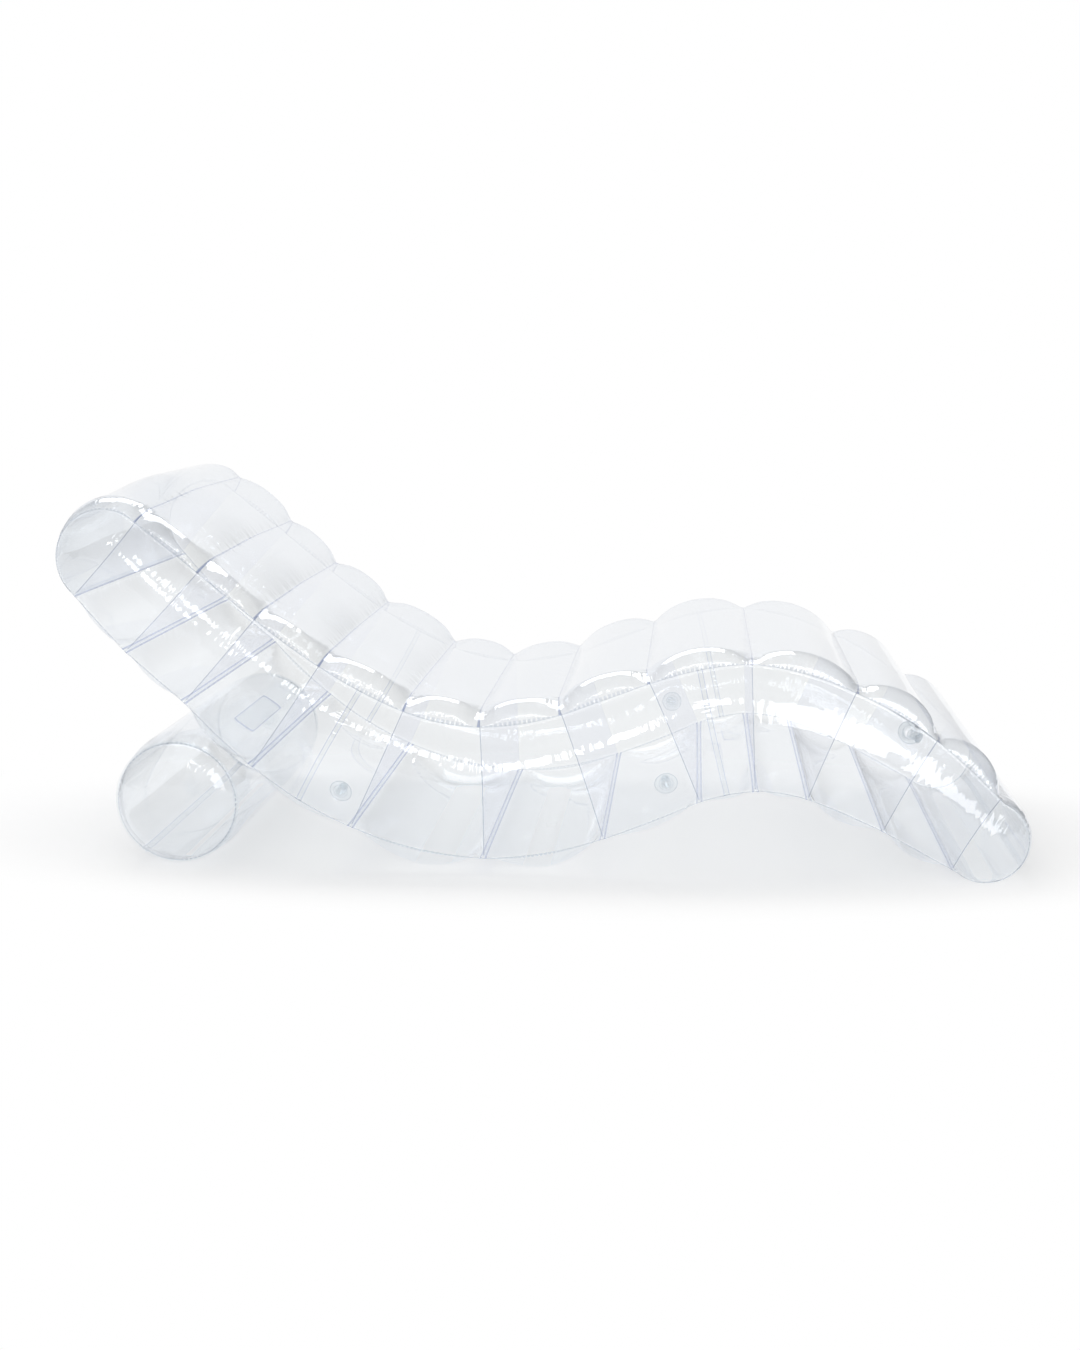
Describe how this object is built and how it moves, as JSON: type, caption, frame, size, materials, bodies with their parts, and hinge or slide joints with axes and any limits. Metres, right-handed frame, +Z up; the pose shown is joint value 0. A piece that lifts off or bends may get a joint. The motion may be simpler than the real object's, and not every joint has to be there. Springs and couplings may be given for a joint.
{
  "type": "inflatable pool lounger",
  "caption": "Clear inflatable pool lounger with raised back, dipped seat and raised knees, welded cross cells and a roller under the back.",
  "frame": {"origin": "on the floor, under the middle of the lounger's length and width", "axes": "+X from the head to the foot, +Y away from the pictured side wall, +Z up"},
  "size_m": [1.863, 0.8338, 0.7376],
  "materials": {
    "clear_film": "clear gloss film",
    "valve_vinyl": "clear moulded, soft gloss",
    "plug_vinyl": "milky moulded, soft gloss"
  },
  "bodies": {
    "lounger": {"top_sheet": "clear_film", "base_sheet": "clear_film", "near_head_panel": "clear_film", "near_seat_panel": "clear_film", "near_foot_panel": "clear_film", "far_head_panel": "clear_film", "far_seat_panel": "clear_film", "far_foot_panel": "clear_film", "baffle_01": "clear_film", "baffle_02": "clear_film", "baffle_03": "clear_film", "baffle_04": "clear_film", "baffle_05": "clear_film", "baffle_06": "clear_film", "baffle_07": "clear_film", "baffle_08": "clear_film", "baffle_09": "clear_film", "baffle_10": "clear_film", "baffle_11": "clear_film", "baffle_12": "clear_film", "roller_wrap": "clear_film", "roller_near_disc": "clear_film", "roller_far_disc": "clear_film", "roller_patch": "clear_film", "back_valve_base": "valve_vinyl", "leg_valve_base": "valve_vinyl", "seat_valve_base": "valve_vinyl", "roller_valve_base": "valve_vinyl"},
    "back_valve_stem_body": {"back_valve_stem": "valve_vinyl"},
    "back_valve_plug_body": {"back_valve_plug": "plug_vinyl"},
    "back_valve_flap_body": {"back_valve_flap": "valve_vinyl"},
    "leg_valve_stem_body": {"leg_valve_stem": "valve_vinyl"},
    "leg_valve_plug_body": {"leg_valve_plug": "plug_vinyl"},
    "leg_valve_flap_body": {"leg_valve_flap": "valve_vinyl"},
    "seat_valve_stem_body": {"seat_valve_stem": "valve_vinyl"},
    "seat_valve_plug_body": {"seat_valve_plug": "plug_vinyl"},
    "seat_valve_flap_body": {"seat_valve_flap": "valve_vinyl"},
    "roller_valve_stem_body": {"roller_valve_stem": "valve_vinyl"},
    "roller_valve_plug_body": {"roller_valve_plug": "plug_vinyl"},
    "roller_valve_flap_body": {"roller_valve_flap": "valve_vinyl"}
  },
  "joints": [
    {"name": "back_valve_stem_pull", "type": "slide", "parent": "lounger", "child": "back_valve_stem_body", "axis": [-0.1422, -0.9532, -0.2667], "range_m": [0, 0.014]},
    {"name": "back_valve_plug_pull", "type": "slide", "parent": "back_valve_stem_body", "child": "back_valve_plug_body", "axis": [-0.1422, -0.9532, -0.2667], "range_m": [0, 0.01]},
    {"name": "back_valve_flap_hinge", "type": "hinge", "parent": "back_valve_stem_body", "child": "back_valve_flap_body", "pos_m": [-0.37411, -0.38854, 0.17565], "axis": [0.989, -0.1476, 0], "range_deg": [0, 40], "stiffness_Nm_per_rad": 0.002},
    {"name": "leg_valve_stem_pull", "type": "slide", "parent": "lounger", "child": "leg_valve_stem_body", "axis": [0.1227, -0.9532, -0.2764], "range_m": [0, 0.014]},
    {"name": "leg_valve_plug_pull", "type": "slide", "parent": "leg_valve_stem_body", "child": "leg_valve_plug_body", "axis": [0.1227, -0.9532, -0.2764], "range_m": [0, 0.01]},
    {"name": "leg_valve_flap_hinge", "type": "hinge", "parent": "leg_valve_stem_body", "child": "leg_valve_flap_body", "pos_m": [0.23899, -0.38837, 0.20309], "axis": [0.9918, 0.1277, 0], "range_deg": [0, 40], "stiffness_Nm_per_rad": 0.002},
    {"name": "seat_valve_stem_pull", "type": "slide", "parent": "lounger", "child": "seat_valve_stem_body", "axis": [0.1227, 0.9532, -0.2764], "range_m": [0, 0.014]},
    {"name": "seat_valve_plug_pull", "type": "slide", "parent": "seat_valve_stem_body", "child": "seat_valve_plug_body", "axis": [0.1227, 0.9532, -0.2764], "range_m": [0, 0.01]},
    {"name": "seat_valve_flap_hinge", "type": "hinge", "parent": "seat_valve_stem_body", "child": "seat_valve_flap_body", "pos_m": [0.23899, 0.38837, 0.20309], "axis": [-0.9918, 0.1277, 0], "range_deg": [0, 40], "stiffness_Nm_per_rad": 0.002},
    {"name": "roller_valve_stem_pull", "type": "slide", "parent": "lounger", "child": "roller_valve_stem_body", "axis": [0, 1, 0], "range_m": [0, 0.014]},
    {"name": "roller_valve_plug_pull", "type": "slide", "parent": "roller_valve_stem_body", "child": "roller_valve_plug_body", "axis": [0, 1, 0], "range_m": [0, 0.01]},
    {"name": "roller_valve_flap_hinge", "type": "hinge", "parent": "roller_valve_stem_body", "child": "roller_valve_flap_body", "pos_m": [-0.70596, 0.3894, 0.13434], "axis": [-1, 0, 0], "range_deg": [0, 40], "stiffness_Nm_per_rad": 0.002}
  ]
}
